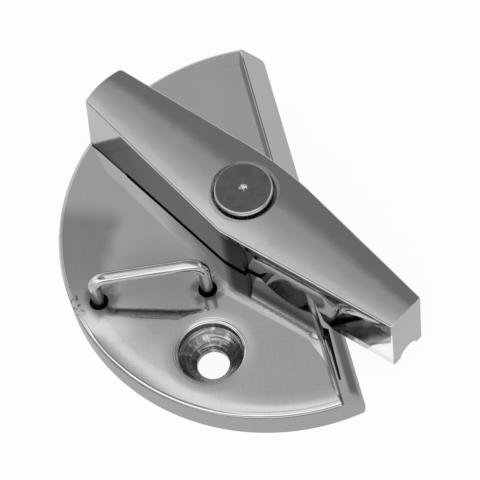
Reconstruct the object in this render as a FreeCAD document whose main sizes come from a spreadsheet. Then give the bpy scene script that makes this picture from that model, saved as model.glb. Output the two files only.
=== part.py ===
"""Twist lock latch: a cast base plate, a lever that turns on a headed pin, and a wire staple.

The origin is midway between the two screw holes on the plate's underside. X points square to the
plate's straight edge, towards the keeper, Y runs along that edge and Z points out of the plate.
Lengths are in millimetres and angles in degrees.
"""
import FreeCAD, Part
import math
import os
import Sketcher

SIZES = [
    # Base plate: a disc cut off by one straight edge.
    ("PlateRadius", 42.7, "radius of the disc"),
    ("PlateThickness", 7.0, "underside to deck"),
    ("EdgeReach", 8.1, "disc centre to the straight edge"),
    ("CornerRound", 1.0, "plan radius where the rim meets the straight edge"),
    ("RimRound", 0.9, "radius rolled along the top of the rim"),
    ("DeckRollWidth", 4.5, "band inside the rim where the deck rolls down"),
    ("DeckRollRadius", 32.0, "section of the deck's roll towards the rim"),
    ("BevelWidth", 4.8, "bevel beside the straight edge, across"),
    ("LipThickness", 0.95, "thickness left at the straight edge"),
    ("ShoulderRound", 1.6, "radius where the deck meets the bevel"),
    ("SlotOffset", 1.4, "shoulder to the middle of the slot in the bevel"),
    ("SlotWidth", 0.9, "slot in the bevel"),
    ("SlotFloor", 3.2, "underside to the floor of the slot"),
    ("SlotStart", -25.3, "centre line to the slot's square end"),
    ("SlotLength", 11.5, "slot in the bevel"),
    # Screw holes.
    ("ScrewInset", 12.1, "rim to the screw's axis"),
    ("ScrewAngle", 53.975, "screw's axis about the disc centre, from the X axis"),
    ("ScrewHole", 6.4, "bore diameter"),
    ("ScrewHead", 12.8, "diameter of the sunk seat's mouth"),
    ("ScrewLand", 1.2, "straight bore left under the seat"),
    ("ScrewSeatAngle", 90.0, "included angle of the seat"),
    ("ScrewLip", 0.9, "radius rolled round the mouth"),
    # Pivot.
    ("PivotSetback", 4.3, "disc centre back to the pivot"),
    ("ShankDiameter", 8.0, "pin in the lever and the plate"),
    ("ShankClearance", 0.05, "radial, in the lever and the plate"),
    ("HeadDiameter", 11.4, "pin head"),
    ("HeadThickness", 4.0, "pin head"),
    ("HeadChamfer", 0.35, "edge of the pin head"),
    ("DimpleDiameter", 1.9, "lathe centre in the head"),
    ("DimpleDepth", 0.8, "lathe centre in the head"),
    ("HeadSink", 2.9, "depth of the counterbore in the lever"),
    ("SinkDiameter", 12.2, "counterbore in the lever"),
    ("SinkFlareDepth", 0.6, "middle of the top to the foot of the counterbore's flare"),
    ("NeckDiameter", 6.0, "pin below the plate's bore"),
    ("NeckClearance", 0.05, "radial, in the spring and the back washer"),
    ("RivetDiameter", 8.6, "spread end of the pin"),
    ("RivetThickness", 0.8, "spread end of the pin"),
    ("WellDiameter", 17.0, "recess under the plate"),
    ("WellDepth", 3.5, "recess under the plate"),
    ("HubGap", 0.9, "deck to the underside of the lever's hub"),
    ("ThrustDiameter", 15.0, "washer between the hub and the deck"),
    ("SpringDiameter", 15.0, "disc spring"),
    ("SpringThickness", 0.6, "disc spring"),
    ("SpringRise", 0.5, "height of the spring's cone"),
    ("BackDiameter", 14.0, "back washer"),
    ("BackThickness", 1.2, "back washer"),
    # Lever, measured from the pivot and from the underside of the hub.
    ("LeverTurn", 56.15, "nose below the X axis at rest"),
    ("MiddleShift", 0.2, "pivot to the lever's middle line, towards the keeper"),
    ("LeverHeight", 12.6, "hub's underside to the middle of the top"),
    ("CrownHub", 40.0, "round of the top across the hub"),
    ("CrownThumb", 21.0, "round of the top across the thumb end"),
    ("CrownNose", 19.0, "round of the top across the nose end"),
    ("ThumbReach", 39.45, "pivot to the thumb end"),
    ("ThumbBow", 30.0, "radius of the bowed thumb end, in plan"),
    ("ThumbTopHalf", 5.0, "half width of the thumb end, at the top"),
    ("ThumbFootHalf", 6.8, "half width of the thumb end, at the foot"),
    ("HubOffset", 1.8, "pivot to the widest point, towards the nose"),
    ("HubHalf", 9.4, "half width at the widest point"),
    ("NoseReach", 40.9, "pivot to the nose end"),
    ("NoseHalf", 4.1, "half width of the nose end"),
    ("NoseDrop", 3.2, "hub's underside down to the nose's foot"),
    ("PadDrop", 0.65, "hub's underside down to the thumb pad"),
    ("PadStart", 27.4, "pivot to the inner end of the thumb pad"),
    ("ArchOffset", 16.2, "pivot to the middle of the arch"),
    ("ArchRadius", 7.7, "arch between the hub and the nose"),
    ("ArchSink", 3.6, "middle of the arch below the hub's underside"),
    ("ToeHeight", 3.0, "height of the bevel inside the nose"),
    ("ToeLength", 3.9, "length of the bevel inside the nose"),
    ("ChannelRadius", 2.3, "hollow along the foot of the nose"),
    ("ChannelDepth", 2.0, "hollow along the foot of the nose"),
    ("ChannelShift", 0.3, "hollow off the middle, towards the keeper"),
    ("FluteStart", 6.5, "pivot to the flute's end at the hub"),
    ("FluteStartTop", 9.8, "hub's underside to the flute's top, at the hub"),
    ("FluteStartFoot", -3.5, "hub's underside to the flute's foot, at the hub"),
    ("FluteStartDepth", 1.2, "flute at the hub"),
    ("FluteArch", 14.0, "pivot to the flute over the arch"),
    ("FluteArchTop", 10.0, "hub's underside to the flute's top, over the arch"),
    ("FluteArchFoot", -4.5, "hub's underside to the flute's foot, over the arch"),
    ("FluteArchDepth", 1.3, "flute over the arch"),
    ("FluteFoot", 23.4, "pivot to the foot of the crease"),
    ("FluteFootTop", 10.2, "hub's underside to the flute's top, at the foot of the crease"),
    ("FluteFootFoot", -2.4, "hub's underside to the foot of the crease"),
    ("FluteFootDepth", 1.2, "flute at the foot of the crease"),
    ("FluteMiddle", 29.4, "pivot to the middle of the crease"),
    ("FluteMiddleTop", 10.8, "hub's underside to the flute's top, at the middle of the crease"),
    ("FluteMiddleFoot", 6.0, "hub's underside to the middle of the crease"),
    ("FluteMiddleDepth", 0.9, "flute at the middle of the crease"),
    ("FluteEndBack", 2.9, "nose end back to the crease's end under the top"),
    ("FluteEndTop", 11.3, "hub's underside to the flute's top, at the crease's end"),
    ("FluteEndFoot", 10.8, "hub's underside to the crease's end"),
    ("FluteEndDepth", 0.08, "flute at the crease's end"),
    ("NearRound", 5.0, "vertical corner at the widest point, staple's side"),
    ("FarRound", 70.0, "vertical corner at the widest point, keeper's side"),
    ("ThumbRound", 0.9, "vertical corners at the thumb end"),
    ("NoseRound", 0.5, "vertical corners at the nose end"),
    ("TopRound", 0.4, "edge round the top"),
    # Staple.
    ("StapleOffsetX", -8.1, "screw line to the staple's middle"),
    ("StapleOffsetY", -9.9, "centre line to the staple's middle"),
    ("StapleTurn", -8.5, "staple's line from the X axis"),
    ("StapleSpacing", 21.4, "leg to leg"),
    ("StapleLow", 8.7, "deck to the bar's left end"),
    ("StapleHigh", 10.2, "deck to the bar's right end"),
    ("WireDiameter", 2.5, "staple wire"),
    ("WireBend", 2.9, "bend on the wire's centre line"),
    ("StapleHole", 3.8, "clearance hole in the deck"),
    ("StapleHoleDepth", 3.6, "clearance hole in the deck"),
    ("WireClearance", 0.02, "radial, in the small hole below"),
    ("WeldDiameter", 4.2, "weld pool under the plate"),
    ("WeldDepth", 1.2, "weld pool under the plate"),
    ("WeldSink", 0.2, "weld pool below the plate's underside"),
]
BEYOND = 5.0            # how far a cutting outline passes the metal that it cuts
EDGE_TOLERANCE = 0.02   # how closely an edge must match its place to be picked
LEAST_CUT = 1e-6        # cubic millimetres
FULL_TURN = 360.0
UPWARDS = FreeCAD.Vector(0, 0, 1)

document = FreeCAD.newDocument("TwistLockLatch")
sheet = document.addObject("Spreadsheet::Sheet", "Sizes")


class Size:
    """A length or angle that carries both its number and the expression that gives it."""

    def __init__(self, number, text):
        self.number = float(number)
        self.text = text

    @staticmethod
    def of(value):
        return value if isinstance(value, Size) else Size(value, "%.6f" % value)

    def __add__(self, other):
        other = Size.of(other)
        return Size(self.number + other.number, "(%s + %s)" % (self.text, other.text))

    def __radd__(self, other):
        return Size.of(other) + self

    def __sub__(self, other):
        other = Size.of(other)
        return Size(self.number - other.number, "(%s - (%s))" % (self.text, other.text))

    def __rsub__(self, other):
        return Size.of(other) - self

    def __mul__(self, other):
        other = Size.of(other)
        return Size(self.number * other.number, "(%s * %s)" % (self.text, other.text))

    __rmul__ = __mul__

    def __truediv__(self, other):
        other = Size.of(other)
        return Size(self.number / other.number, "(%s / %s)" % (self.text, other.text))

    def __neg__(self):
        return Size(-self.number, "(-1 * %s)" % self.text)

    def root(self):
        return Size(math.sqrt(self.number), "sqrt(%s)" % self.text)

    def tangent(self):
        return Size(math.tan(math.radians(self.number)), "tan((%s) * 1 deg)" % self.text)

    def cosine(self):
        return Size(math.cos(math.radians(self.number)), "cos((%s) * 1 deg)" % self.text)

    def sine(self):
        return Size(math.sin(math.radians(self.number)), "sin((%s) * 1 deg)" % self.text)


def fill_sheet():
    """Write the driving sizes to the sheet and return them by name."""
    named = {}
    for row, (name, number, note) in enumerate(SIZES, start=1):
        sheet.set("A%d" % row, name)
        sheet.set("B%d" % row, str(number))
        sheet.set("C%d" % row, note)
        sheet.setAlias("B%d" % row, name)
        named[name] = Size(number, "Sizes." + name)
    document.recompute()
    return named


size = fill_sheet()
ZERO = Size(0, "0")


def bind(thing, field, value):
    """Tie a property or a constraint to the sheet."""
    thing.setExpression(field, value.text)


def new_body(label):
    body = document.addObject("PartDesign::Body", label)
    body.Label = label
    return body


def plane_of(body, role):
    for feature in body.Origin.OriginFeatures:
        if feature.Role == role:
            return feature
    raise ValueError("no plane " + role)


def new_sketch(body, name, role="XY_Plane", lift=ZERO):
    """A sketch on one of the body's own planes, lifted along that plane's normal."""
    sketch = body.newObject("Sketcher::SketchObject", name)
    sketch.AttachmentSupport = [(plane_of(body, role), "")]
    sketch.MapMode = "FlatFace"
    sketch.AttachmentOffset = FreeCAD.Placement(FreeCAD.Vector(0, 0, lift.number), FreeCAD.Rotation())
    bind(sketch, ".AttachmentOffset.Base.z", lift)
    return sketch


def pin_point(sketch, line, end, x, y):
    """Hold one end of a line or arc at a place given from the sketch's origin."""
    for kind, value in (("DistanceX", x), ("DistanceY", y)):
        index = sketch.addConstraint(Sketcher.Constraint(kind, -1, 1, line, end, value.number))
        bind(sketch, "Constraints[%d]" % index, value)


def hold_radius(sketch, curve, value):
    index = sketch.addConstraint(Sketcher.Constraint("Radius", curve, value.number))
    bind(sketch, "Constraints[%d]" % index, value)


def vector(point):
    return FreeCAD.Vector(Size.of(point[0]).number, Size.of(point[1]).number, 0)


def polygon(sketch, points):
    """A closed outline through the points, each held by its two sizes."""
    points = [(Size.of(x), Size.of(y)) for x, y in points]
    first = sketch.GeometryCount
    count = len(points)
    for i in range(count):
        segment = Part.LineSegment(vector(points[i]), vector(points[(i + 1) % count]))
        sketch.addGeometry(segment, False)
    for i in range(count):
        after = first + (i + 1) % count
        sketch.addConstraint(Sketcher.Constraint("Coincident", first + i, 2, after, 1))
    for i, (x, y) in enumerate(points):
        pin_point(sketch, first + i, 1, x, y)
    return first


def close_with_lines(sketch, arc, points, backwards=False, first_arc=None):
    """Close an arc, or two that follow each other, with lines through the points."""
    first_arc = arc if first_arc is None else first_arc
    lines = []
    for a, b in zip(points, points[1:]):
        lines.append(sketch.addGeometry(Part.LineSegment(vector(a), vector(b)), False))
    out_end, in_end = (1, 2) if backwards else (2, 1)
    sketch.addConstraint(Sketcher.Constraint("Coincident", arc, out_end, lines[0], 1))
    sketch.addConstraint(Sketcher.Constraint("Coincident", lines[-1], 2, first_arc, in_end))
    for here, after in zip(lines, lines[1:]):
        sketch.addConstraint(Sketcher.Constraint("Coincident", here, 2, after, 1))
    for line, corner in zip(lines, points):
        pin_point(sketch, line, 1, corner[0], corner[1])
    pin_point(sketch, lines[-1], 2, points[-1][0], points[-1][1])


def circle(sketch, x, y, radius):
    x, y, radius = Size.of(x), Size.of(y), Size.of(radius)
    shape = Part.Circle(vector((x, y)), UPWARDS, radius.number)
    curve = sketch.addGeometry(shape, False)
    pin_point(sketch, curve, 3, x, y)
    hold_radius(sketch, curve, radius)
    return curve


def pad(body, sketch, length, name):
    feature = body.newObject("PartDesign::Pad", name)
    feature.Profile = sketch
    feature.Length = length.number
    bind(feature, "Length", length)
    document.recompute()
    return feature


def pocket(body, sketch, name, length=None, both=False, reverse=False):
    """Cut the sketch's outline out of the body, and check that it has cut something."""
    before = body.Shape.Volume
    feature = body.newObject("PartDesign::Pocket", name)
    feature.Profile = sketch
    feature.Reversed = reverse
    if length is None:
        feature.Type = "ThroughAll"
        feature.Midplane = both
    else:
        feature.Length = length.number
        bind(feature, "Length", length)
    document.recompute()
    must_shrink(body, before, name)
    return feature


def must_shrink(body, before, name):
    if not body.Shape.Volume < before - LEAST_CUT:
        raise ValueError(name + " cuts nothing")


def turned_cut(body, sketch, name):
    before = body.Shape.Volume
    feature = body.newObject("PartDesign::Groove", name)
    feature.Profile = sketch
    feature.ReferenceAxis = (sketch, ["Axis0"])
    feature.Angle = FULL_TURN
    document.recompute()
    must_shrink(body, before, name)
    return feature


def lofted_cut(body, sections, name):
    """Cut away what a loft through the sections takes in."""
    document.recompute()
    before = body.Shape.Volume
    feature = body.newObject("PartDesign::SubtractiveLoft", name)
    feature.Profile = sections[0]
    feature.Sections = sections[1:]
    document.recompute()
    must_shrink(body, before, name)
    return feature


def mirrored(body, features, role, name):
    feature = body.newObject("PartDesign::Mirrored", name)
    feature.Originals = features
    feature.MirrorPlane = (plane_of(body, role), [""])
    body.Tip = feature
    document.recompute()
    return feature


def edges_where(shape, test):
    return ["Edge%d" % i for i, edge in enumerate(shape.Edges, start=1) if test(edge)]


def fillet(body, base, test, radius, name):
    edges = edges_where(base.Shape, test)
    if not edges:
        raise ValueError(name + " finds no edge")
    feature = body.newObject("PartDesign::Fillet", name)
    feature.Base = (base, edges)
    feature.Radius = radius.number
    bind(feature, "Radius", radius)
    document.recompute()
    return feature


def near(a, b):
    return abs(a - b) < EDGE_TOLERANCE


def is_upright(edge):
    """True for a straight edge along Z."""
    box = edge.BoundBox
    return near(box.XLength, 0) and near(box.YLength, 0) and box.ZLength > EDGE_TOLERANCE


def revolve(body, points, name):
    """A turned piece, from its half section given as radius and height."""
    sketch = new_sketch(body, name + "Section", "XZ_Plane")
    polygon(sketch, points)
    feature = body.newObject("PartDesign::Revolution", name)
    feature.Profile = sketch
    feature.ReferenceAxis = (sketch, ["V_Axis"])
    feature.Angle = FULL_TURN
    document.recompute()
    return feature


def put(body, x=ZERO, y=ZERO, z=ZERO, turn=ZERO):
    """Place a sub-part in the latch."""
    place = FreeCAD.Vector(x.number, y.number, z.number)
    body.Placement = FreeCAD.Placement(place, FreeCAD.Rotation(UPWARDS, turn.number))
    for field, value in (("x", x), ("y", y), ("z", z)):
        bind(body, ".Placement.Base." + field, value)
    bind(body, ".Placement.Rotation.Angle", turn)


# Places and levels that several pieces share.
screw_reach = size["PlateRadius"] - size["ScrewInset"]
screw_y = screw_reach * size["ScrewAngle"].sine()
disc_x = screw_reach * size["ScrewAngle"].cosine()
edge_x = disc_x + size["EdgeReach"]
shoulder_x = edge_x - size["BevelWidth"]
pivot_x = disc_x - size["PivotSetback"]
deck_z = size["PlateThickness"]
hub_z = deck_z + size["HubGap"]
shank_hole = size["ShankDiameter"] / 2 + size["ShankClearance"]
neck_hole = size["NeckDiameter"] / 2 + size["NeckClearance"]
wire_hole = size["WireDiameter"] / 2 + size["WireClearance"]
spring_foot_z = size["WellDepth"] - size["SpringThickness"] - size["SpringRise"]
back_foot_z = spring_foot_z - size["BackThickness"]


def base_plate():
    """The cast plate: deck, rolled rim, bevel, screw seats, pivot bore and staple holes."""
    body = new_body("base_plate")
    outline = new_sketch(body, "PlateOutline")
    half_chord = (size["PlateRadius"] * size["PlateRadius"] - size["EdgeReach"] * size["EdgeReach"]).root()
    centre = vector((disc_x, ZERO))
    rim = Part.Circle(centre, UPWARDS, size["PlateRadius"].number)
    start = math.atan2(half_chord.number, size["EdgeReach"].number)
    arc = outline.addGeometry(Part.ArcOfCircle(rim, start, 2 * math.pi - start), False)
    top, bottom = vector((edge_x, half_chord)), vector((edge_x, -half_chord))
    chord = outline.addGeometry(Part.LineSegment(bottom, top), False)
    outline.addConstraint(Sketcher.Constraint("Coincident", arc, 2, chord, 1))
    outline.addConstraint(Sketcher.Constraint("Coincident", chord, 2, arc, 1))
    outline.addConstraint(Sketcher.Constraint("Vertical", chord))
    pin_point(outline, arc, 3, disc_x, ZERO)
    hold_radius(outline, arc, size["PlateRadius"])
    index = outline.addConstraint(Sketcher.Constraint("DistanceX", -1, 1, chord, 1, edge_x.number))
    bind(outline, "Constraints[%d]" % index, edge_x)
    plate = pad(body, outline, deck_z, "Plate")
    fillet(body, plate, is_upright, size["CornerRound"], "Corners")
    bevel(body)
    deck_roll(body)
    slot(body)
    screw_seats(body)

    bore = new_sketch(body, "PivotBore")
    circle(bore, pivot_x, ZERO, shank_hole)
    pocket(body, bore, "PivotBoreCut", reverse=True)
    well = new_sketch(body, "SpringWell")
    circle(well, pivot_x, ZERO, size["WellDiameter"] / 2)
    pocket(body, well, "SpringWellCut", size["WellDepth"], reverse=True)

    for name, radius, lift, depth, reverse in (
            ("StapleMouth", size["StapleHole"] / 2, deck_z, size["StapleHoleDepth"], False),
            ("StapleBore", wire_hole, ZERO, None, True),
            ("WeldCup", size["WeldDiameter"] / 2, ZERO, size["WeldDepth"], True)):
        holes = new_sketch(body, name, lift=lift)
        for side in (-1, 1):
            reach = size["StapleSpacing"] * (side / 2)
            x = size["StapleOffsetX"] + reach * size["StapleTurn"].cosine()
            y = size["StapleOffsetY"] + reach * size["StapleTurn"].sine()
            circle(holes, x, y, radius)
        pocket(body, holes, name + "Cut", depth, reverse=reverse)
    return body


def deck_roll(body):
    """Let the deck roll down gently into its round rim."""
    section = new_sketch(body, "DeckRollSection", "XZ_Plane")
    roll, rim, rim_x = size["DeckRollRadius"], size["RimRound"], disc_x - size["PlateRadius"]
    inner_x, span, run = rim_x + size["DeckRollWidth"], roll - rim, size["DeckRollWidth"] - rim
    rise = (span * span - run * run).root()
    end_z = deck_z - roll + rise
    meet = (inner_x - run * (roll / span), deck_z - roll + rise * (roll / span))
    over_x, over_z = rim_x - BEYOND, deck_z + BEYOND
    turn = math.pi / 2 + math.asin(run.number / span.number)
    deck_circle = Part.Circle(vector((inner_x, deck_z - roll)), UPWARDS, roll.number)
    rim_circle = Part.Circle(vector((rim_x + rim, end_z)), UPWARDS, rim.number)
    deck_arc = section.addGeometry(Part.ArcOfCircle(deck_circle, math.pi / 2, turn), False)
    rim_arc = section.addGeometry(Part.ArcOfCircle(rim_circle, turn, math.pi), False)
    section.addConstraint(Sketcher.Constraint("Coincident", deck_arc, 2, rim_arc, 1))
    pin_point(section, deck_arc, 2, *meet)
    close_with_lines(section, rim_arc, [(rim_x, end_z), (over_x, end_z), (over_x, over_z),
                                        (inner_x, over_z), (inner_x, deck_z)], first_arc=deck_arc)
    hold_radius(section, deck_arc, roll)
    hold_radius(section, rim_arc, rim)
    axis = section.addGeometry(Part.LineSegment(vector((disc_x, ZERO)), vector((disc_x, over_z))), True)
    pin_point(section, axis, 1, disc_x, ZERO)
    pin_point(section, axis, 2, disc_x, over_z)
    turned_cut(body, section, "DeckRollCut")


def bevel(body):
    """Bevel the strip beside the straight edge down to a thin lip."""
    section = new_sketch(body, "BevelSection", "XZ_Plane")
    over_x, over_z = edge_x + BEYOND, deck_z + BEYOND
    fall = (deck_z - size["LipThickness"]) / size["BevelWidth"]
    polygon(section, [(shoulder_x, deck_z), (over_x, deck_z - fall * (size["BevelWidth"] + BEYOND)),
                      (over_x, over_z), (shoulder_x, over_z)])
    cut = pocket(body, section, "BevelCut", both=True)

    def on_shoulder(edge):
        box = edge.BoundBox
        return near(box.XLength, 0) and near(box.XMin, shoulder_x.number) and near(box.ZMax, deck_z.number)
    fillet(body, cut, on_shoulder, size["ShoulderRound"], "Shoulder")


def slot(body):
    """The short slot in the bevel, below the shoulder."""
    outline = new_sketch(body, "SlotOutline", lift=size["SlotFloor"])
    middle, half = shoulder_x + size["SlotOffset"], size["SlotWidth"] / 2
    start, end = size["SlotStart"], size["SlotStart"] - size["SlotLength"]
    polygon(outline, [(middle - half, start), (middle - half, end), (middle, end), (middle + half, start)])
    pocket(body, outline, "SlotCut", deck_z, reverse=True)


def screw_seats(body):
    """Two sunk screw seats: a short straight mouth, a cone and a bore."""
    section = new_sketch(body, "ScrewSeat", "YZ_Plane")
    y = -screw_y
    bore = size["ScrewHole"] / 2
    head = size["ScrewHead"] / 2
    cone_top = size["ScrewLand"] + (head - bore) / (size["ScrewSeatAngle"] / 2).tangent()
    axis = section.addGeometry(Part.LineSegment(vector((y, ZERO)), vector((y, deck_z))), True)
    pin_point(section, axis, 1, y, ZERO)
    pin_point(section, axis, 2, y, deck_z)
    below = ZERO - BEYOND
    above = deck_z + BEYOND
    polygon(section, [(y, below), (y + bore, below), (y + bore, size["ScrewLand"]),
                      (y + head, cone_top), (y + head, above), (y, above)])
    seat = turned_cut(body, section, "ScrewSeatCut")
    both = mirrored(body, [seat], "XZ_Plane", "BothScrewSeats")

    def on_mouth(edge):
        points = [edge.valueAt(t) for t in (edge.FirstParameter, edge.LastParameter)]
        round_mouth = all(near(math.hypot(p.x, abs(p.y) + y.number), head.number) for p in points)
        return round_mouth and edge.BoundBox.ZMin > cone_top.number + EDGE_TOLERANCE
    fillet(body, both, on_mouth, size["ScrewLip"], "ScrewLips")


def lever():
    """The cast lever, with X from the pivot to the nose and Z from the hub's underside."""
    body = new_body("lever")
    top, thumb, nose = size["LeverHeight"], size["ThumbReach"], size["NoseReach"]
    hub, wide, tip, middle = size["HubOffset"], size["HubHalf"], size["NoseHalf"], size["MiddleShift"]

    def hexagon(name, lift, thumb_half):
        sketch = new_sketch(body, name, lift=lift)
        polygon(sketch, [(-thumb, middle - thumb_half), (hub, middle - wide), (nose, middle - tip),
                         (nose, middle + tip), (hub, middle + wide), (-thumb, middle + thumb_half)])
        return sketch

    lean = (size["ThumbFootHalf"] - size["ThumbTopHalf"]) / (top + size["PadDrop"])
    foot = hexagon("FootOutline", -size["PadDrop"], size["ThumbFootHalf"])
    crest = hexagon("CrestOutline", top + BEYOND, size["ThumbTopHalf"] - lean * BEYOND)
    bar = body.newObject("PartDesign::AdditiveLoft", "Bar")
    bar.Profile = foot
    bar.Sections = [crest]
    bar.Ruled = True
    document.recompute()

    hook = new_sketch(body, "NoseOutline", lift=-size["NoseDrop"])
    inner = size["ArchOffset"]
    polygon(hook, [(inner, middle - half_width(inner)), (nose, middle - tip),
                   (nose, middle + tip), (inner, middle + half_width(inner))])
    pad(body, hook, size["NoseDrop"] + top / 2, "Nose")

    relief = new_sketch(body, "HubRelief", lift=-size["PadDrop"])
    reach = wide + BEYOND
    pad_end = -size["PadStart"]
    polygon(relief, [(pad_end, -reach), (inner, -reach), (inner, reach), (pad_end, reach)])
    pocket(body, relief, "HubReliefCut", size["PadDrop"], reverse=True)
    round_hub(body)
    arch(body)
    crown(body)
    thumb_end(body)
    channel(body)
    flutes(body)
    soften(body)

    bore = new_sketch(body, "LeverBore")
    circle(bore, ZERO, ZERO, shank_hole)
    pocket(body, bore, "LeverBoreCut", reverse=True)
    head_sink(body)
    put(body, pivot_x, ZERO, hub_z, -size["LeverTurn"])
    return body


def head_sink(body):
    """The counterbore for the pin's head, flared where it breaks out of the crowned top."""
    section = new_sketch(body, "HeadSink", "XZ_Plane")
    top, radius = size["LeverHeight"], size["SinkDiameter"] / 2
    seat_z, flare_z = top - size["HeadSink"], top - size["SinkFlareDepth"]
    polygon(section, [(ZERO, seat_z), (radius, seat_z), (radius, flare_z),
                      (radius + BEYOND, flare_z + BEYOND), (ZERO, flare_z + BEYOND)])
    before = body.Shape.Volume
    feature = body.newObject("PartDesign::Groove", "HeadSinkCut")
    feature.Profile = section
    feature.ReferenceAxis = (section, ["V_Axis"])
    feature.Angle = FULL_TURN
    document.recompute()
    must_shrink(body, before, "HeadSinkCut")


def half_width(offset):
    """The lever's half width between its widest point and the nose, at the top."""
    slope = (size["HubHalf"] - size["NoseHalf"]) / (size["NoseReach"] - size["HubOffset"])
    return size["HubHalf"] - (offset - size["HubOffset"]) * slope


def round_hub(body):
    """Round the vertical corners at the widest point, on the keeper's side more than on the staple's."""
    hub = size["HubOffset"].number
    for name, side, radius in (("NearCorner", -1, size["NearRound"]), ("FarCorner", 1, size["FarRound"])):
        def at_corner(edge):
            box = edge.BoundBox
            return is_upright(edge) and near(box.XMin, hub) and box.YMin * side > 0
        fillet(body, body.Tip, at_corner, radius, name)


def arch(body):
    """The throat between hub and nose, with a slope that clears the plate's bevel."""
    section = new_sketch(body, "ArchSection", "XZ_Plane")
    centre_x, centre_z, radius = size["ArchOffset"], -size["ArchSink"], size["ArchRadius"]
    toe_z = size["ToeHeight"] - size["NoseDrop"]
    toe_run = (radius * radius - (toe_z - centre_z) * (toe_z - centre_z)).root()
    toe = (centre_x + toe_run, toe_z)
    low_z = -size["NoseDrop"]
    under_z = low_z - BEYOND
    start = (centre_x - radius, centre_z)
    points = [toe, (toe[0] + size["ToeLength"], low_z), (toe[0] + size["ToeLength"], under_z),
              (start[0], under_z), start]
    from_angle = math.atan2(toe_z.number - centre_z.number, toe_run.number)
    throat = Part.Circle(vector((centre_x, centre_z)), UPWARDS, radius.number)
    arc = section.addGeometry(Part.ArcOfCircle(throat, from_angle, math.pi), False)
    close_with_lines(section, arc, points, backwards=True)
    hold_radius(section, arc, radius)
    pocket(body, section, "ArchCut", both=True)


def crown(body):
    """Round the top across its width, with about the same slope at its edges all along."""
    hub, full = size["HubOffset"], size["CrownHub"]
    thumb, nose = size["ThumbReach"], size["NoseReach"]
    thumb_fall = (full - size["CrownThumb"]) / (thumb + hub)
    nose_fall = (full - size["CrownNose"]) / (nose - hub)
    sections = []
    for name, place, half, radius in (
            ("Thumb", -thumb - BEYOND, size["ThumbTopHalf"], size["CrownThumb"] - thumb_fall * BEYOND),
            ("Hub", hub, size["HubHalf"], full),
            ("Nose", nose + BEYOND, size["NoseHalf"], size["CrownNose"] - nose_fall * BEYOND)):
        section = new_sketch(body, "Crown%sSection" % name, "YZ_Plane", lift=place)
        reach = half + BEYOND
        side_z = size["LeverHeight"] - radius + (radius * radius - reach * reach).root()
        over_z = size["LeverHeight"] + BEYOND * 2
        middle = size["MiddleShift"]
        round_top = Part.Circle(vector((middle, size["LeverHeight"] - radius)), UPWARDS, radius.number)
        start = math.acos(reach.number / radius.number)
        arc = section.addGeometry(Part.ArcOfCircle(round_top, start, math.pi - start), False)
        points = [(middle - reach, side_z), (middle - reach, over_z),
                  (middle + reach, over_z), (middle + reach, side_z)]
        close_with_lines(section, arc, points)
        hold_radius(section, arc, radius)
        sections.append(section)
    lofted_cut(body, sections, "CrownCut")


def thumb_end(body):
    """Bow the thumb end outwards, in plan."""
    outline = new_sketch(body, "ThumbBowOutline", lift=-size["NoseDrop"])
    reach, bow = size["ThumbFootHalf"] + BEYOND, size["ThumbBow"]
    centre_x = bow - size["ThumbReach"]
    side_x = centre_x - (bow * bow - reach * reach).root()
    over_x = -size["ThumbReach"] - BEYOND
    end = Part.Circle(vector((centre_x, ZERO)), UPWARDS, bow.number)
    half_turn = math.asin(reach.number / bow.number)
    arc = outline.addGeometry(Part.ArcOfCircle(end, math.pi - half_turn, math.pi + half_turn), False)
    close_with_lines(outline, arc, [(side_x, -reach), (over_x, -reach), (over_x, reach), (side_x, reach)])
    hold_radius(outline, arc, bow)
    pocket(body, outline, "ThumbBowCut", reverse=True)


def channel(body):
    """The hollow along the foot of the nose that leads it over the keeper."""
    section = new_sketch(body, "ChannelSection", "YZ_Plane", lift=size["ArchOffset"])
    height = size["ChannelDepth"] - size["NoseDrop"] - size["ChannelRadius"]
    circle(section, size["ChannelShift"], height, size["ChannelRadius"])
    pocket(body, section, "ChannelCut", size["NoseReach"], reverse=True)


def flutes(body):
    """A hollow flute along each side over the arch, which narrows to a crease towards the nose."""
    for side_name, side in (("Near", -1), ("Far", 1)):
        sections = []
        for name, place in (("FluteStart", size["FluteStart"]), ("FluteArch", size["FluteArch"]),
                            ("FluteFoot", size["FluteFoot"]), ("FluteMiddle", size["FluteMiddle"]),
                            ("FluteEnd", size["NoseReach"] - size["FluteEndBack"])):
            foot, depth = size[name + "Foot"], size[name + "Depth"]
            half_chord = (size[name + "Top"] - foot) / 2
            radius = (half_chord * half_chord + depth * depth) / (depth * 2)
            section = new_sketch(body, side_name + name, "YZ_Plane", lift=place)
            across = size["MiddleShift"] + (half_width(place) - depth + radius) * side
            circle(section, across, foot + half_chord, radius)
            sections.append(section)
        lofted_cut(body, sections, side_name + "FluteCut")


def soften(body):
    """Round the vertical corners and the rim of the top."""
    pad_end, nose = -size["PadStart"].number, size["NoseReach"].number
    half_height = size["LeverHeight"].number / 2

    def at_thumb(edge):
        return edge.BoundBox.XMax < pad_end and edge.BoundBox.ZLength > half_height

    def at_nose(edge):
        return is_upright(edge) and near(edge.BoundBox.XMin, nose) and edge.BoundBox.ZLength > half_height
    fillet(body, body.Tip, at_thumb, size["ThumbRound"], "ThumbCorners")
    fillet(body, body.Tip, at_nose, size["NoseRound"], "NoseCorners")
    crest = max(body.Tip.Shape.Faces, key=lambda face: face.CenterOfMass.z)

    def on_crest(edge):
        return any(edge.isSame(other) for other in crest.Edges)
    fillet(body, body.Tip, on_crest, size["TopRound"], "TopEdge")


def turned(name, points, z=ZERO):
    body = new_body(name)
    revolve(body, points, name + "_turning")
    put(body, pivot_x, ZERO, z)
    return body


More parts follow.
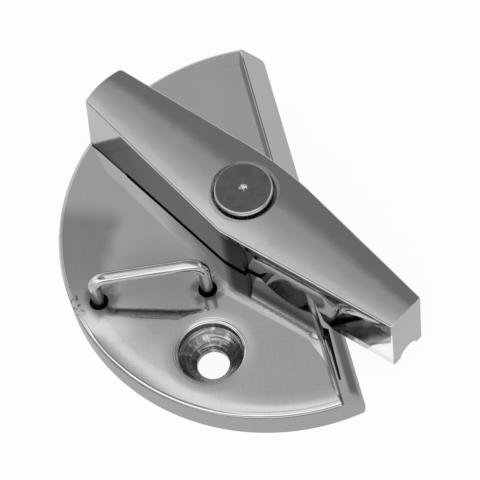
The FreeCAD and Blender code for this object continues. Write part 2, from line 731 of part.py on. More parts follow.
def pivot_pin():
    """The headed pin, from its spread end under the back washer to its dimpled head."""
    head, shank, neck = size["HeadDiameter"] / 2, size["ShankDiameter"] / 2, size["NeckDiameter"] / 2
    seat_z = hub_z + size["LeverHeight"] - size["HeadSink"]
    top_z = seat_z + size["HeadThickness"]
    flat = head - size["HeadChamfer"]
    spread_z = back_foot_z - size["RivetThickness"]
    spread = size["RivetDiameter"] / 2
    return turned("pivot_pin", [
        (ZERO, spread_z), (neck, spread_z), (spread, back_foot_z), (neck, back_foot_z),
        (neck, size["WellDepth"]), (shank, size["WellDepth"]), (shank, seat_z), (head, seat_z),
        (head, top_z - size["HeadChamfer"]), (flat, top_z), (size["DimpleDiameter"] / 2, top_z),
        (ZERO, top_z - size["DimpleDepth"])])


def ring(name, inner, outer, low, high):
    return turned(name, [(inner, low), (outer, low), (outer, high), (inner, high)])


def disc_spring():
    """A coned washer: its rim presses up on the well's roof, its middle down on the back washer."""
    inner, outer = neck_hole, size["SpringDiameter"] / 2
    thick, rise = size["SpringThickness"], size["SpringRise"]
    low = spring_foot_z
    return turned("disc_spring", [
        (inner, low), (outer, low + rise), (outer, low + rise + thick), (inner, low + thick)])


def wire_line(sketch, a, b):
    return sketch.addGeometry(Part.LineSegment(vector(a), vector(b)), False)


def staple():
    """The wire loop, welded into the plate from underneath."""
    body = new_body("staple")
    half = size["StapleSpacing"] / 2
    bend = size["WireBend"]
    low_z = size["WeldSink"]
    path = new_sketch(body, "WirePath", "XZ_Plane")
    left_z, right_z = deck_z + size["StapleLow"], deck_z + size["StapleHigh"]
    bar = wire_line(path, (bend - half, left_z), (half - bend, right_z))
    for side, bar_end, height in ((-1, 1, left_z), (1, 2, right_z)):
        leg = wire_line(path, (half * side, low_z), (half * side, height - bend))
        middle = vector(((half - bend) * side, height - bend))
        bow = Part.Circle(middle, UPWARDS, bend.number)
        start = 0 if side > 0 else math.pi / 2
        turn = path.addGeometry(Part.ArcOfCircle(bow, start, start + math.pi / 2), False)
        leg_end = 1 if side > 0 else 2
        path.addConstraint(Sketcher.Constraint("Tangent", leg, 2, turn, leg_end))
        path.addConstraint(Sketcher.Constraint("Tangent", bar, bar_end, turn, 3 - leg_end))
        path.addConstraint(Sketcher.Constraint("Vertical", leg))
        hold_radius(path, turn, bend)
        pin_point(path, leg, 1, half * side, low_z)
        index = path.addConstraint(Sketcher.Constraint("DistanceY", -1, 1, bar, bar_end, height.number))
        bind(path, "Constraints[%d]" % index, height)
    section = new_sketch(body, "WireSection", lift=low_z)
    circle(section, -half, ZERO, size["WireDiameter"] / 2)
    document.recompute()
    sweep = body.newObject("PartDesign::AdditivePipe", "Wire")
    sweep.Profile = section
    sweep.Spine = path
    document.recompute()
    welds = new_sketch(body, "WeldPools", lift=low_z)
    for x in (-half, half):
        circle(welds, x, ZERO, size["WeldDiameter"] / 2 - size["WireClearance"])
    pad(body, welds, size["WeldDepth"] - low_z, "Welds")
    put(body, size["StapleOffsetX"], size["StapleOffsetY"], ZERO, size["StapleTurn"])
    return body


def build():
    """Make every sub-part, in the order in which the latch goes together."""
    parts = [base_plate(), lever()]
    parts.append(ring("thrust_washer", shank_hole, size["ThrustDiameter"] / 2, deck_z, hub_z))
    parts.append(pivot_pin())
    parts.append(disc_spring())
    parts.append(staple())
    parts.append(ring("back_washer", neck_hole, size["BackDiameter"] / 2, back_foot_z, spring_foot_z))
    return parts


def write(parts):
    """Check the whole document, then write one file for each sub-part."""
    document.recompute()
    for thing in document.Objects:
        if "Invalid" in thing.State or "Error" in thing.State:
            raise ValueError(thing.Name + " did not compute")
    os.makedirs("parts", exist_ok=True)
    for part in parts:
        shape = part.Shape
        if shape.isNull() or not shape.isValid():
            raise ValueError(part.Label + " is not a valid solid")
        shape.exportStep("parts/%s.step" % part.Label)
        print(part.Label, "volume", round(shape.Volume, 2), "solids", len(shape.Solids))


write(build())
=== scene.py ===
"""A twist lock latch of polished cast stainless steel, dressed on its own frame.

The frame is in metres: X points square to the plate's straight edge, Y runs along it and Z points
out of the plate. Materials and the wire staple are laid out in millimetres from the same origin.
"""
import math

import bpy
from mathutils import Matrix, Vector


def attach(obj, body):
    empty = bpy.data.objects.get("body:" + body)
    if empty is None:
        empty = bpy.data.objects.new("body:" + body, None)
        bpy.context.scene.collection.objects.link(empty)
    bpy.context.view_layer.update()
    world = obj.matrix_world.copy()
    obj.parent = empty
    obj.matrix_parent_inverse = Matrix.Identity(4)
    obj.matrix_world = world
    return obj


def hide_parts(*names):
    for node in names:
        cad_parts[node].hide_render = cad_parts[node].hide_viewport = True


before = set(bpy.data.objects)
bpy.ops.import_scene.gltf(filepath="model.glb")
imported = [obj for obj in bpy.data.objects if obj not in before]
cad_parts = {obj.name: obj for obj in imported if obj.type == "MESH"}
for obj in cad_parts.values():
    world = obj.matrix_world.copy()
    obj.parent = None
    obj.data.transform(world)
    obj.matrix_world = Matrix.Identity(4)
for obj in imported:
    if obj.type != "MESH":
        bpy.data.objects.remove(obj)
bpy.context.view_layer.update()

MM = 0.001

# Camera, fitted to the photograph.
VIEW_AZIMUTH = math.radians(3.901)
VIEW_ELEVATION = math.radians(59.761)
VIEW_ROLL = math.radians(-10.732)
VIEW_DISTANCE = 402.162 * MM
LOOK_AT = Vector((11.333, 1.248, 0.455)) * MM
LENS = 150.0
SENSOR = 36.0

# Places on the latch, in millimetres.
DISC_X = 18.0
DECK_Z = 7.0
RIM_RADIUS = 42.7
SHOULDER_X = 21.3
BEVEL_FALL = 6.05 / 4.8
SCREW_Y = 24.75
SEAT_RADIUS = 6.4
PIVOT_X = 13.7
LEVER_TURN = math.radians(-56.15)
NOSE_END = 40.7
HEAD_EDGE_Z = 21.35

# The wire staple, in millimetres.
STAPLE_MIDDLE = (-8.1, -9.9)
STAPLE_TURN = math.radians(-8.5)
STAPLE_SPACING = 21.4
STAPLE_HEIGHTS = (8.7, 10.2)
WIRE = 2.5
WIRE_BEND = 3.1
WIRE_LOW = 0.7
WELD = 4.16
WELD_HEIGHT = 0.5

# The corners, steps and sides that the wire is made with. WIRE_STEP is in millimetres.
CORNERS = 4
BEND_STEPS = 14
WIRE_STEP = 0.35
ROUND_SIDES = 32

# Directions of the polishing and grinding lines, as angles from X.
POLISH_ACROSS = math.radians(-8)
POLISH_UP = math.radians(84)
RIM_GRIND = math.radians(90)

# Greys of the metal, before marks and shade. The screw seats' dark grey is itself painted shade,
# and the toe's near-white grey is a painted highlight.
DECK_GREY = 0.49
RIM_GREY = 0.385
SEAT_SHADED_GREY = 0.14
LEVER_GREY = 0.42
NOSE_GREY = 0.46
TOE_HIGHLIGHT_GREY = 0.92
PIN_GREY = 0.40
PIN_TOP_GREY = 0.14
WIRE_GREY = 0.46
WASHER_GREY = 0.48

# Soft forms of the deck, in millimetres: where each starts, and its slope or its curve.
ROLL_START = 33.0
ROLL_DELAY = 4.5
ROLL_CURVE = -0.006
HEM_START = 39.8
HEM_CURVE = -0.055
LIFT_START = 38.2
LIFT_CURVE = 1 / 64.0
DIP_DEPTH = -0.75
LIP_Y = -38.6
LIP_CURVE = 0.0227
LIP_SLOPE = 0.2
DISH_RADIUS = 9.5
DISH_CURVE = -0.028
FLARE_WIDTH = 0.7
FLARE_SLOPE = -0.35

# Marks on the deck, and the painted reflection beside the lever's nose, in millimetres. TINT_ENDS
# is for the left and right leg, and the centre of the darker patch between the legs is a place.
# Any other pair is where a mark starts and ends, or where its edge does.
LEFT_DARK_RAGGED = 4.0
LEFT_DARK_X = (-17.5, -13.0)
LEFT_DARK_NEAR = (-15.0, -2.0)
LEFT_DARK_FAR = (2.0, 9.0)
MIDDLE_DARK_CENTRE = (-7.0, -8.5)
MIDDLE_DARK_REACH = (4.0, 13.0)
GLEAM_ALONG = 17.0
GLEAM_ACROSS = -11.4
GLEAM_SLOPE = 0.17
GLEAM_HALF = 0.9
GLEAM_START = (3.0, 9.0)
GLEAM_END = (26.0, 32.0)
LINE_REACH = (41.5, 41.6)
SPECK_REACH = (40.7, 41.3)
SPECK_Y = (-9.5, -3.5)
HOLE_EDGE = (2.0, 2.2)
TINT_START = 1.9
TINT_ENDS = (5.2, 4.0)
TINT_RAGGED = 4.5

# Forms and marks of the lever, with its painted shade in the arch and its painted highlight on the
# toe, in millimetres: lengthwise, crosswise and round from the pivot, and upwards from the
# underside of the plate.
SINK_EDGE = (6.8, 7.0)
ARCH_START = (0.6, 3.6)
ARCH_END = (6.7, 7.0)
ARCH_SIDE = (-7.5, -7.0)
ARCH_TOP = (17.0, 18.2)
TOE_ALONG = 36.8
TOE_Z = 8.9
TOE_SLOPE = 2.0
DRAFT_START_Z = 16.8
DRAFT_END_Z = 19.6
DRAFT_SLOPE = -0.13
HOOK_Z = 6.9
HOOK_SLOPE = 0.25

# The light tent and the floor.
TENT_LIGHT = 1.38
FLOOR_REACH = 3.0
FLOOR_WHITE = (0.95, 0.95, 0.95, 1)
FLOOR_GLOW = 0.92
WHITE = (1, 1, 1, 1)


def make_camera():
    """A camera at the photograph's angle."""
    flat = Vector((math.sin(VIEW_AZIMUTH), math.cos(VIEW_AZIMUTH), 0))
    aim = flat * math.cos(VIEW_ELEVATION) - Vector((0, 0, math.sin(VIEW_ELEVATION)))
    right = aim.cross(Vector((0, 0, 1))).normalized()
    up = right.cross(aim)
    turn = Matrix.Rotation(-VIEW_ROLL, 3, aim)
    right, up = turn @ right, turn @ up
    lens = bpy.data.cameras.new("Camera")
    lens.lens = LENS
    lens.sensor_width = SENSOR
    camera = bpy.data.objects.new("Camera", lens)
    place = Matrix((right, up, -aim)).transposed().to_4x4()
    place.translation = LOOK_AT - aim * VIEW_DISTANCE
    camera.matrix_world = place
    bpy.context.scene.collection.objects.link(camera)
    bpy.context.scene.camera = camera


class Value:
    """One output of a node tree, with arithmetic that adds Math nodes."""

    def __init__(self, tree, socket):
        self.tree = tree
        self.socket = socket

    def math(self, operation, first, second=0.0):
        """Add one Math node."""
        return self.tree.node("ShaderNodeMath", {"operation": operation}, {0: first, 1: second})

    def __add__(self, other):
        return self.math("ADD", self, other)

    def __sub__(self, other):
        return self.math("SUBTRACT", self, other)

    def __rsub__(self, other):
        return self.math("SUBTRACT", other, self)

    def __mul__(self, other):
        return self.math("MULTIPLY", self, other)

    def __truediv__(self, other):
        return self.math("DIVIDE", self, other)

    def __neg__(self):
        return self.math("MULTIPLY", self, -1.0)

    __radd__ = __add__
    __rmul__ = __mul__

    def root(self):
        return self.math("SQRT", self)

    def squared(self):
        return self.math("MULTIPLY", self, self)

    def sine(self):
        return self.math("SINE", self)

    def size(self):
        return self.math("ABSOLUTE", self)

    def bearing(self, run):
        """The angle of a slope that climbs this much over a run."""
        return self.math("ARCTAN2", self, run)

    def least(self, other):
        """The smaller of the two."""
        return self.math("MINIMUM", self, other)

    def most(self, other):
        """The larger of the two."""
        return self.math("MAXIMUM", self, other)

    def past(self, start):
        """How far it lies above a start, and 0 below it."""
        return (self - start).most(0.0)

    def rise(self, low, high):
        """0 below low, 1 above high, and a smooth ramp between them."""
        return self.tree.node("ShaderNodeMapRange", {"interpolation_type": "SMOOTHSTEP"},
                              {"Value": self, "From Min": low, "From Max": high})

    def fall(self, low, high):
        """1 below low, 0 above high, and a smooth ramp between them."""
        return 1 - self.rise(low, high)

    def between(self, low, high, soft):
        """1 between low and high, fading out over soft on either side."""
        return self.rise(low - soft, low) * self.fall(high, high + soft)

    def dimmed(self, mask, share):
        """Less by a share of itself where a mask is 1, or more where the share is negative."""
        return self * (1 - mask * share)

    def covered(self, mask, other):
        """Another value where a mask is 1."""
        return self * (1 - mask) + mask * other


class Tree:
    """A node tree being built."""

    def __init__(self, tree):
        self.tree = tree
        self.tree.nodes.clear()

    def node(self, kind, settings=None, inputs=None, output=0):
        """Add a node: its settings first, then the values or links of its sockets."""
        node = self.tree.nodes.new(kind)
        for name, value in (settings or {}).items():
            setattr(node, name, value)
        for key, value in (inputs or {}).items():
            if isinstance(value, Value):
                self.tree.links.new(value.socket, node.inputs[key])
            else:
                node.inputs[key].default_value = value
        if isinstance(output, tuple):
            return [Value(self, node.outputs[key]) for key in output]
        return Value(self, node.outputs[output]) if node.outputs else None

    def place(self, x, y, z=0.0):
        """A vector from its three parts."""
        return self.node("ShaderNodeCombineXYZ", inputs={0: x, 1: y, 2: z})

    def grain(self, x, y, z=0.0):
        """Noise from 0 to 1 over places of its own, with blotches about 1 wide."""
        return self.node("ShaderNodeTexNoise", inputs={
            "Vector": self.place(x, y, z), "Scale": 1.0, "Detail": 3.0})


class Finish(Tree):
    """A metal material whose pattern is laid out in millimetres on the latch."""

    def __init__(self, name):
        self.material = bpy.data.materials.new(name)
        self.material.use_nodes = True
        super().__init__(self.material.node_tree)
        metres = self.node("ShaderNodeTexCoord", output="Object")
        self.at = self.node("ShaderNodeVectorMath", {"operation": "SCALE"},
                            {0: metres, "Scale": 1 / MM})
        self.x, self.y, self.z = self.node("ShaderNodeSeparateXYZ", inputs={0: self.at},
                                           output=(0, 1, 2))

    def from_axis(self, x, y):
        """Distance from an upright axis."""
        return ((self.x - x).squared() + (self.y - y).squared()).root()

    def along(self, angle, x=0.0):
        """Lengthwise and crosswise places on a line at an angle from X, through a point on X."""
        cos, sin = math.cos(angle), math.sin(angle)
        run = self.x - x
        return run * cos + self.y * sin, self.y * cos - run * sin

    def noise(self, size, detail):
        """Noise from 0 to 1 with blotches of about a size in millimetres."""
        return self.node("ShaderNodeTexNoise", inputs={
            "Vector": self.at, "Scale": 1 / size, "Detail": detail})

    def lines(self, angle, width, length):
        """Fine polishing lines at an angle from X."""
        along, across = self.along(angle)
        return self.grain(along / length, across / width)

    def done(self, tone, roughness, height):
        """The finished metal, from its grey, its roughness and its relief in millimetres."""
        grey = self.node("ShaderNodeCombineColor", inputs={0: tone, 1: tone, 2: tone})
        relief = self.node("ShaderNodeBump", inputs={
            "Height": height, "Distance": MM, "Strength": 1.0})
        shader = self.node("ShaderNodeBsdfPrincipled", inputs={
            "Base Color": grey, "Metallic": 1.0, "Roughness": roughness, "Normal": relief})
        self.node("ShaderNodeOutputMaterial", inputs={"Surface": shader})
        return self.material


class PlateFinish(Finish):
    """Mirror polish on the deck, a ground rim, turned screw seats and heat tint at the staple."""

    def __init__(self):
        super().__init__("Polished cast plate")
        x, y, z = self.x, self.y, self.z
        self.reach = self.from_axis(DISC_X, 0)
        beside_screw = y.size() - SCREW_Y
        self.screw = (x.squared() + beside_screw.squared()).root()
        # Masks, each 1 on the surface that it is named for.
        self.rim = self.reach.rise(RIM_RADIUS - 0.25, RIM_RADIUS - 0.12) * z.fall(6.2, 6.4)
        self.under = z.fall(0.02, 0.1)
        self.seat = self.screw.fall(SEAT_RADIUS - 0.05, SEAT_RADIUS + 0.1) * z.fall(6.0, 6.3)
        self.bevel = x.rise(SHOULDER_X + 0.2, SHOULDER_X + 0.7)
        self.deck = 1 - self.bevel
        self.fore = y.fall(-22.0, -14.0) * x.rise(-4.0, 8.0)
        self.brushed = y.fall(-22.0, -12.0) * (1 - self.seat)
        self.tint, holes = self.heat_marks()
        self.sunk = holes.most(self.slot())
        # Marks of the turning, fine and coarse, which differ on the two screw seats.
        bearing = beside_screw.bearing(x)
        which = y.rise(-1.0, 1.0) * 9.0
        self.turned = self.grain(bearing * 1.1, self.screw * 2.6, which)
        self.scored = self.grain(bearing * 3.2, self.screw * 0.35, which)

    def slot(self):
        """The inside of the short slot in the bevel."""
        depth = DECK_Z - BEVEL_FALL * (self.x - SHOULDER_X) - self.z
        inside = depth.rise(0.25, 0.4) * self.x.between(SHOULDER_X + 0.7, SHOULDER_X + 2.1, 0.1)
        return inside * self.y.fall(-25.4, -25.0) * self.z.rise(2.9, 3.1) * (1 - self.rim)

    def heat_marks(self):
        """Heat tint on the deck round the staple's two holes, and the inside of the holes."""
        cos, sin = math.cos(STAPLE_TURN), math.sin(STAPLE_TURN)
        halos, holes = [], []
        for side, tint_end in zip((-0.5, 0.5), TINT_ENDS):
            off = side * STAPLE_SPACING
            leg = self.from_axis(STAPLE_MIDDLE[0] + off * cos, STAPLE_MIDDLE[1] + off * sin)
            ragged = (self.noise(2.2, 3.0) - 0.5) * TINT_RAGGED
            halos.append((leg + ragged).fall(TINT_START, tint_end))
            holes.append(leg.fall(*HOLE_EDGE))
        tint = halos[0].most(halos[1]) * self.z.rise(6.9, 6.99)
        return tint, holes[0].most(holes[1]) * self.z.fall(6.75, 6.95) * self.z.rise(1.0, 2.0)

    def tone(self):
        """Grey of the plate with its marks, painted shade and a painted reflection."""
        x, y, z, reach = self.x, self.y, self.z, self.reach
        # The deck darker at the left, and darker in a patch between the staple's legs.
        ragged = (self.noise(6.0, 2.0) - 0.5) * LEFT_DARK_RAGGED
        left_dark = (x + ragged - y * 0.45).fall(*LEFT_DARK_X) * y.rise(*LEFT_DARK_NEAR)
        left_dark = left_dark * (y + x * 0.4).fall(*LEFT_DARK_FAR) * z.rise(6.3, 6.5)
        middle_dark = self.from_axis(*MIDDLE_DARK_CENTRE).fall(*MIDDLE_DARK_REACH)
        # A painted reflection: a light strip on the deck beside the lever's nose, in place of the
        # nose's mirror image.
        along, across = self.along(LEVER_TURN, PIVOT_X)
        gleam = across - GLEAM_ACROSS - (along - GLEAM_ALONG) * GLEAM_SLOPE
        gleam = gleam.between(-GLEAM_HALF, GLEAM_HALF, 0.6)
        gleam = gleam * along.rise(*GLEAM_START) * along.fall(*GLEAM_END)
        gleam = gleam * self.deck * z.rise(6.2, 6.5)
        # The rim's thin dark line in front, and worn specks on it at the left.
        line = reach.between(*LINE_REACH, 0.14) * self.fore * self.deck
        speck = self.noise(0.9, 3.0).rise(0.5, 0.6) * reach.rise(*SPECK_REACH)
        speck = speck * y.between(*SPECK_Y, 1.5) * x.fall(-20.0, -18.0) * z.rise(6.0, 6.2)
        # Painted shade on the whole bevel, deeper in a band and a crease at its near end.
        near = y.fall(-24.0, -16.0)
        band = x.between(SHOULDER_X + 2.8, SHOULDER_X + 3.7, 0.9) * near * y.rise(-40.5, -38.0)
        crease = x.between(SHOULDER_X + 0.2, SHOULDER_X + 0.45, 0.2) * near * z.rise(4.0, 5.0)

        streak = self.lines(POLISH_UP, 0.5, 12.0) + self.lines(POLISH_ACROSS, 0.4, 9.0) - 1
        tone = DECK_GREY + (self.noise(9.0, 3.0) - 0.5) * 0.06
        tone = tone + streak * 0.05 * (0.3 + self.brushed * 0.7)
        for mark, share in ((left_dark, 0.38), (line, 0.3), (speck, 0.6), (middle_dark, 0.24), (gleam, -0.5),
                            (self.tint, 0.66), (self.bevel, 0.22 + band * 0.46 + near * 0.12),
                            (crease, 0.7)):
            tone = tone.dimmed(mark, share)
        tone = tone.covered(self.rim, RIM_GREY + (self.noise(1.2, 2.0) - 0.5) * 0.03)
        # The screw seats' dark grey is painted shade in the recesses; the lighter turning marks on
        # it are real.
        tone = tone.covered(self.seat, SEAT_SHADED_GREY + self.turned.rise(0.5, 0.72) * 0.22
                            + self.scored.rise(0.52, 0.7) * 0.26)
        # The insides of the staple's holes and of the slot are darkened as painted shade; the
        # underside is darker too.
        return tone.dimmed(self.sunk, 0.88).dimmed(self.under, 0.35)

    def roughness(self):
        """Smoothest on the polished deck and dullest on the ground rim."""
        return (0.055 + self.brushed * 0.045 + self.tint * 0.12 + self.rim * 0.42
                + self.seat * 0.18 + self.under * 0.3 + self.sunk * 0.4)

    def height(self):
        """Relief left by casting, polishing, brushing, turning and grinding."""
        x, y, z, reach, screw = self.x, self.y, self.z, self.reach, self.screw
        # The deck rolls down towards the rim in front, lifts at the rim behind and dips near left.
        roll = (reach - x.rise(-8.0, 10.0) * ROLL_DELAY).past(ROLL_START).squared() * ROLL_CURVE
        roll = roll * y.fall(-16.0, 2.0)
        hem = reach.past(HEM_START).squared() * HEM_CURVE * self.fore
        lift = reach.past(LIFT_START).squared() * LIFT_CURVE
        lift = lift * y.rise(-18.0, -8.0) * reach.fall(41.8, 42.3)
        dip = x.fall(-22.0, -2.0) * y.fall(-18.0, -8.0) * DIP_DEPTH
        # A lip at the near end of the bevel's edge, and the dish and flare round each screw seat.
        lip = (x - SHOULDER_X + (y - LIP_Y).squared() * LIP_CURVE).most(0.0)
        lip = lip * LIP_SLOPE * y.fall(-30.0, -26.5)
        dish = (screw - DISH_RADIUS).least(0.0).squared() * DISH_CURVE * (1 - self.seat)
        flare = screw.past(SEAT_RADIUS).least(FLARE_WIDTH) * FLARE_SLOPE
        forms = (roll + hem + lift + dip + lip + dish + flare) * z.rise(6.0, 6.5) * self.deck

        wave = self.noise(14.0, 1.0) * 0.08 * self.deck + self.noise(5.0, 1.0) * 0.008
        brush = self.lines(POLISH_ACROSS, 0.30, 9.0) * 0.006
        brush = brush + self.lines(POLISH_UP, 0.35, 7.0) * 0.003
        rings = (screw * 9.0).sine() * 0.004 + self.turned * 0.06 + self.noise(0.9, 3.0) * 0.03
        ground = self.lines(RIM_GRIND, 0.3, 6.0) * 0.01
        return (forms + wave + self.brushed * brush + rings * self.seat
                + ground * self.rim.most(self.under))


def plate_finish():
    """The base plate's metal."""
    f = PlateFinish()
    return f.done(f.tone(), f.roughness(), f.height())


def lever_finish():
    """Mirror polish along the lever, with its nose end left ground, and painted shade and
    highlight.
    """
    f = Finish("Polished cast lever")
    along, across = f.along(LEVER_TURN, PIVOT_X)
    end = along.rise(NOSE_END, NOSE_END + 0.12)
    sink = f.from_axis(PIVOT_X, 0).fall(*SINK_EDGE) * f.z.between(15.0, 20.3, 0.1)
    # Painted shade in the arch beside the hub and low along the lever, and a painted highlight on
    # the toe.
    arch = along.rise(*ARCH_START) * along.fall(*ARCH_END)
    arch = arch * across.fall(*ARCH_SIDE) * f.z.fall(*ARCH_TOP)
    shade = f.z.fall(7.4, 8.2) * along.fall(30.0, 31.0)
    toe = ((along - TOE_ALONG) * TOE_SLOPE + TOE_Z - f.z).rise(-0.5, 0.5)
    toe = toe * (1 - end) * across.fall(-3.0, -2.0)
    tone = LEVER_GREY + (f.noise(7.0, 3.0) - 0.5) * 0.07
    tone = tone.covered(end, NOSE_GREY).covered(toe, TOE_HIGHLIGHT_GREY)
    tone = tone.dimmed(arch, 0.93).dimmed(shade, 0.7)
    rough = 0.07 + end * 0.38 + sink * 0.4 + arch * 0.3 + (f.noise(6.0, 2.0) - 0.5) * 0.03

    # The side leans back under the crown, and the hook turns in below the deck's level.
    draft = f.z.least(DRAFT_END_Z).past(DRAFT_START_Z) * DRAFT_SLOPE * along.rise(-6.0, 14.0)
    hook = (f.z - HOOK_Z).least(0.0) * HOOK_SLOPE * along.rise(28.0, 30.0)
    wave = f.noise(9.0, 1.0) * 0.05 + f.noise(3.0, 1.0) * 0.004
    polish = f.lines(LEVER_TURN, 0.4, 14.0) * 0.0035
    grind = f.noise(0.5, 2.0) * 0.01
    return f.done(tone, rough, wave + polish + grind * end + hook + draft)


def pin_finish():
    """A dark satin turned head with a few worn marks."""
    f = Finish("Satin turned pin")
    reach = f.from_axis(PIVOT_X, 0)
    top = f.z.rise(HEAD_EDGE_Z + 0.05, HEAD_EDGE_Z + 0.2)
    worn = f.noise(1.4, 4.0)
    tone = PIN_GREY * (1 - top) + top * (PIN_TOP_GREY + (worn - 0.5) * 0.10)
    rings = (reach * 14.0).sine() * 0.004
    shoulder = (HEAD_EDGE_Z - f.z).most(0.0).least(0.65) * 1.7 * reach.rise(4.5, 5.0)
    return f.done(tone, 0.20 + top * 0.16, rings + worn * 0.02 + shoulder)


def wire_finish():
    """Bright drawn wire with lines along it, with painted shade on its legs by the holes."""
    f = Finish("Bright drawn wire")
    # Painted shade on the legs, from a little above the deck down into the holes.
    foot = f.z.fall(6.2, 10.5)
    around, along = (f.node("ShaderNodeAttribute", {"attribute_name": name}, output="Fac")
                     for name in ("around", "along"))
    drawn = f.grain(around * 26.0, along * 7.0)
    tone = (WIRE_GREY + (drawn - 0.5) * 0.6).dimmed(foot, 0.75)
    rough = 0.09 + foot * 0.2 + (f.noise(0.8, 3.0) - 0.5) * 0.04
    return f.done(tone, rough, drawn * 0.02 + f.noise(1.5, 2.0) * 0.02)


def washer_finish():
    """Plain turned steel for the washers and the spring."""
    f = Finish("Turned washer steel")
    rings = (f.from_axis(PIVOT_X, 0) * 11.0).sine() * 0.004
    tone = WASHER_GREY + (f.noise(2.0, 3.0) - 0.5) * 0.1
    return f.done(tone, 0.28 + f.noise(3.0, 2.0) * 0.08, rings)


def marked(tree, curve, name):
    """The curve, with each point's share of the way along it stored under a name."""
    share = tree.node("GeometryNodeSplineParameter", output="Factor")
    return tree.node("GeometryNodeStoreNamedAttribute", {"domain": "POINT", "data_type": "FLOAT"},
                     {"Geometry": curve, "Name": name, "Value": share})


def wire_tree(material):
    """Geometry Nodes: round wire swept through two bends, with a weld at each foot."""
    group = bpy.data.node_groups.new("Swept wire loop", "GeometryNodeTree")
    tree = Tree(group)
    names = ("Spacing", "Left height", "Right height", "Low end", "Bend", "Wire", "Weld",
             "Weld height")
    for name in names:
        group.interface.new_socket(name, in_out="INPUT", socket_type="NodeSocketFloat")
    group.interface.new_socket("Geometry", in_out="OUTPUT", socket_type="NodeSocketGeometry")
    spacing, left, right, low, bend, wire, weld, weld_height = tree.node(
        "NodeGroupInput", output=names)

    # The wire's path: foot, bend, bend, foot.
    off_middle = tree.node("GeometryNodeInputIndex") - (CORNERS - 1) / 2
    second = off_middle.rise(-0.4, 0.4)
    top = 1.5 - off_middle.size()
    height = low + top * (left + second * (right - left) - low)
    line = tree.node("GeometryNodeMeshLine", inputs={"Count": CORNERS})
    line = tree.node("GeometryNodeSetPosition", inputs={
        "Geometry": line, "Position": tree.place((second - 0.5) * spacing, 0.0, height)})
    path = tree.node("GeometryNodeMeshToCurve", inputs={0: line})
    path = tree.node("GeometryNodeFilletCurve", {"mode": "POLY"}, {
        "Curve": path, "Count": BEND_STEPS, "Radius": bend})
    path = tree.node("GeometryNodeResampleCurve", {"mode": "LENGTH"}, {
        "Curve": path, "Length": WIRE_STEP * MM})
    ring = tree.node("GeometryNodeCurvePrimitiveCircle", inputs={
        "Resolution": ROUND_SIDES, "Radius": wire * 0.5})
    tube = tree.node("GeometryNodeCurveToMesh", inputs={
        "Curve": marked(tree, path, "along"), "Profile Curve": marked(tree, ring, "around"),
        "Fill Caps": True})

    # A flat weld bead at each foot.
    feet = tree.node("GeometryNodeMeshLine", {"mode": "END_POINTS"}, {
        "Count": 2, "Start Location": tree.place(spacing * -0.5, 0.0, low),
        "Offset": tree.place(spacing * 0.5, 0.0, low)})
    bead = tree.node("GeometryNodeMeshUVSphere", inputs={
        "Segments": ROUND_SIDES, "Rings": ROUND_SIDES // 2, "Radius": 1.0})
    bead = tree.node("GeometryNodeTransform", inputs={
        "Geometry": bead, "Scale": tree.place(weld * 0.5, weld * 0.5, weld_height)})
    beads = tree.node("GeometryNodeInstanceOnPoints", inputs={"Points": feet, "Instance": bead})

    both = tree.node("GeometryNodeJoinGeometry", inputs={0: tube})
    group.links.new(beads.socket, both.socket.node.inputs[0])
    both = tree.node("GeometryNodeSetShadeSmooth", inputs={"Geometry": both})
    both = tree.node("GeometryNodeRealizeInstances", inputs={0: both})
    both = tree.node("GeometryNodeSetMaterial", inputs={"Geometry": both, "Material": material})
    tree.node("NodeGroupOutput", inputs={0: both})
    return group


def make_staple(material):
    """The wire loop as a plain mesh in its place on the plate."""
    holder = bpy.data.objects.new("Wire source", bpy.data.meshes.new("Wire source"))
    bpy.context.scene.collection.objects.link(holder)
    modifier = holder.modifiers.new("Wire", "NODES")
    modifier.node_group = wire_tree(material)
    values = {"Spacing": STAPLE_SPACING, "Left height": DECK_Z + STAPLE_HEIGHTS[0],
              "Right height": DECK_Z + STAPLE_HEIGHTS[1], "Low end": WIRE_LOW, "Bend": WIRE_BEND,
              "Wire": WIRE, "Weld": WELD, "Weld height": WELD_HEIGHT}
    for socket in modifier.node_group.interface.items_tree:
        if socket.in_out == "INPUT":
            modifier[socket.identifier] = values[socket.name] * MM
    done = holder.evaluated_get(bpy.context.evaluated_depsgraph_get())
    mesh = bpy.data.meshes.new_from_object(done)
    middle = Matrix.Translation(Vector((*STAPLE_MIDDLE, 0)) * MM)
    mesh.transform(middle @ Matrix.Rotation(STAPLE_TURN, 4, "Z"))
    bpy.data.objects.remove(holder)
    piece = bpy.data.objects.new("wire_staple", mesh)
    bpy.context.scene.collection.objects.link(piece)
    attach(piece, "plate")
    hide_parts("staple")


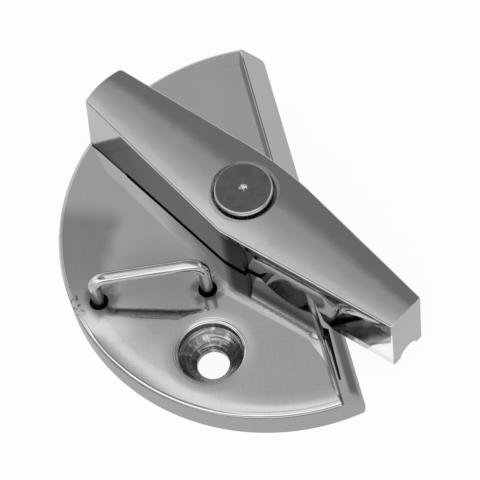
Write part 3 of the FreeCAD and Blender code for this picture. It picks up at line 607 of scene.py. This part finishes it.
def make_world():
    """A light tent, bright on the left and in front and dimmer on the right and behind.

    It is plain white to the camera. It has darker patches high on the left and low in front, and
    lights in a band above the one in front, at the far right and low behind.
    """
    world = bpy.data.worlds.new("Light tent")
    bpy.context.scene.world = world
    world.use_nodes = True
    tree = Tree(world.node_tree)
    direction = tree.node("ShaderNodeTexCoord", output="Generated")
    x, y, z = tree.node("ShaderNodeSeparateXYZ", inputs={0: direction}, output=(0, 1, 2))
    left, front, sweep = -x, -y, x + y * 0.76
    # It dims from the near left to the far right.
    tone = TENT_LIGHT - 0.5 * sweep.rise(-0.1, 0.2) - 0.25 * sweep.rise(0.1, 0.45)
    tone = tone - 0.3 * sweep.rise(0.45, 0.66)
    # The band of light in front, then the dark patches on the left and in front.
    tone = tone + 0.8 * y.fall(-0.1, 0.1) * x.fall(0.4, 0.8) * z.between(0.36, 0.5, 0.2)
    tone = tone.dimmed(left.rise(0.30, 0.44) * z.rise(0.55, 0.7), 0.62)
    tone = tone.dimmed(left.rise(0.55, 0.7) * z.rise(0.5, 0.6), 0.6)
    tone = tone.dimmed(front.rise(0.6, 0.9) * z.fall(0.25, 0.42), 0.65)
    # The lights at the far right and low behind.
    tone = tone + 1.2 * x.rise(0.8, 0.95) + z.fall(0.12, 0.35) * y.rise(0.3, 0.7)
    rays = tree.node("ShaderNodeLightPath", output="Is Camera Ray")
    strength = tree.node("ShaderNodeMix", {"data_type": "FLOAT"}, {0: rays, 2: tone, 3: 1.0})
    back = tree.node("ShaderNodeBackground", inputs={"Color": WHITE, "Strength": strength})
    tree.node("ShaderNodeOutputWorld", inputs={"Surface": back})


def make_floor():
    """A plain pale floor that shows white to the camera and in the metal, and keeps the shadow."""
    mesh = bpy.data.meshes.new("Floor")
    corners = [(x * FLOOR_REACH, y * FLOOR_REACH, 0)
               for x, y in ((-1, -1), (1, -1), (1, 1), (-1, 1))]
    mesh.from_pydata(corners, [], [(0, 1, 2, 3)])
    floor = bpy.data.objects.new("Floor", mesh)
    bpy.context.scene.collection.objects.link(floor)
    material = bpy.data.materials.new("Pale floor")
    material.use_nodes = True
    tree = Tree(material.node_tree)
    diffuse = tree.node("ShaderNodeBsdfDiffuse", inputs={"Color": FLOOR_WHITE})
    glow = tree.node("ShaderNodeEmission", inputs={"Color": WHITE, "Strength": 1.0})
    camera, glossy, through = tree.node("ShaderNodeLightPath", output=(
        "Is Camera Ray", "Is Glossy Ray", "Is Transmission Ray"))
    share = camera.most(glossy).most(through) * FLOOR_GLOW
    mix = tree.node("ShaderNodeMixShader", inputs={0: share, 1: diffuse, 2: glow})
    tree.node("ShaderNodeOutputMaterial", inputs={"Surface": mix})
    mesh.materials.append(material)


def dress(node, material):
    """Give a CAD node its metal."""
    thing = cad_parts[node]
    thing.data.materials.clear()
    thing.data.materials.append(material)


make_camera()
make_world()
make_floor()
dress("base_plate", plate_finish())
dress("lever", lever_finish())
dress("pivot_pin", pin_finish())
make_staple(wire_finish())
washer = washer_finish()
for node in ("thrust_washer", "disc_spring", "back_washer"):
    dress(node, washer)
bpy.context.scene.view_settings.view_transform = "Standard"
